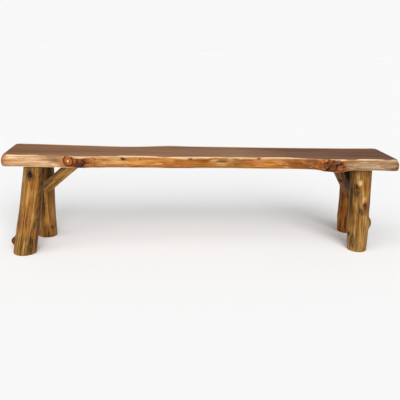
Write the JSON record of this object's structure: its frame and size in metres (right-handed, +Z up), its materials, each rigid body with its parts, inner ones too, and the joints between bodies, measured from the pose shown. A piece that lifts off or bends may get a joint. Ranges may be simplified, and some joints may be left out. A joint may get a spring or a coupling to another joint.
{
  "type": "rustic log bench",
  "caption": "Backless rustic garden bench: a live-edge timber slab on splayed round log legs, with a slanted pole brace at each end.",
  "frame": {"origin": "on the floor, under the centre of the bench's outer box", "axes": "+X along the seat, to the right as seen from the front, +Y to the back, +Z up"},
  "size_m": [1.8587, 0.3919, 0.457],
  "materials": {
    "slab_wood": "clear satin oil over purple-brown heartwood, orange-gold sapwood on the live edges",
    "log_wood": "peeled log, clear satin finish",
    "pole_wood": "peeled pole, clear satin finish",
    "wedge_wood": "bare hardwood",
    "plug_wood": "clear satin finish",
    "screw_steel": "zinc-plated, dull"
  },
  "bodies": {
    "root": {"seat_slab": "slab_wood", "leg_front_left": "log_wood", "leg_back_left": "log_wood", "leg_front_right": "log_wood", "leg_back_right": "log_wood", "brace_left": "pole_wood", "brace_right": "pole_wood", "tenon_wedge_front_left": "wedge_wood", "tenon_wedge_back_left": "wedge_wood", "tenon_wedge_front_right": "wedge_wood", "tenon_wedge_back_right": "wedge_wood", "brace_screw_left_lower": "screw_steel", "brace_screw_left_upper": "screw_steel", "brace_screw_right_lower": "screw_steel", "brace_screw_right_upper": "screw_steel", "screw_plug_left_lower": "plug_wood", "screw_plug_left_upper": "plug_wood", "screw_plug_right_lower": "plug_wood", "screw_plug_right_upper": "plug_wood"}
  },
  "joints": []
}
